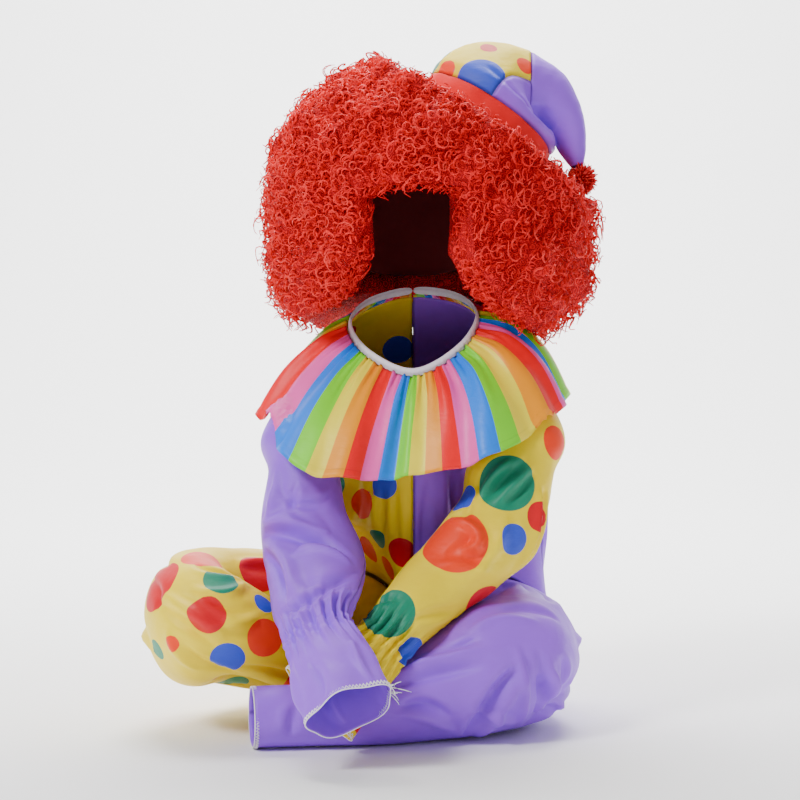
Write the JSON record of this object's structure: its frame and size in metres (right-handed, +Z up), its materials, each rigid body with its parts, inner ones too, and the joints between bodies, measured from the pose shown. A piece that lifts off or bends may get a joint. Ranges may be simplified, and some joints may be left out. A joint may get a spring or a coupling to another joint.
{
  "type": "clown costume",
  "caption": "child's clown costume worn sitting cross-legged: dotted yellow and purple jumpsuit, striped ruffle collar, curly red wig, soft pointed hat",
  "frame": {"origin": "centre of the neck opening, where the wearer's neck holds the costume up; the floor it sits on is 0.352 m below", "axes": "+Z up, -Y the wearer's front, +X the wearer's left"},
  "size_m": [0.4143, 0.4606, 0.6182],
  "materials": {
    "purple_cloth": "satin",
    "yellow_dotted_cloth": "satin",
    "striped_satin": "satin",
    "white_binding": "matte",
    "red_cloth": "matte",
    "red_curls": "satin",
    "wig_cap_net": "matte"
  },
  "bodies": {
    "root": {"front_left_panel": "purple_cloth", "front_right_panel": "yellow_dotted_cloth", "back_left_panel": "purple_cloth", "back_right_panel": "yellow_dotted_cloth", "left_leg": "purple_cloth", "right_leg": "yellow_dotted_cloth", "left_sleeve": "yellow_dotted_cloth", "right_sleeve": "purple_cloth", "collar_ruffle": "striped_satin", "neck_binding": "white_binding", "back_placket": "purple_cloth", "wig_cap": "wig_cap_net", "wig_curls": "red_curls", "hat_band": "red_cloth", "hat_gore_yellow": "yellow_dotted_cloth", "hat_gore_purple": "purple_cloth", "hat_tip_purple": "purple_cloth", "hat_pompom": "red_cloth"}
  },
  "joints": []
}
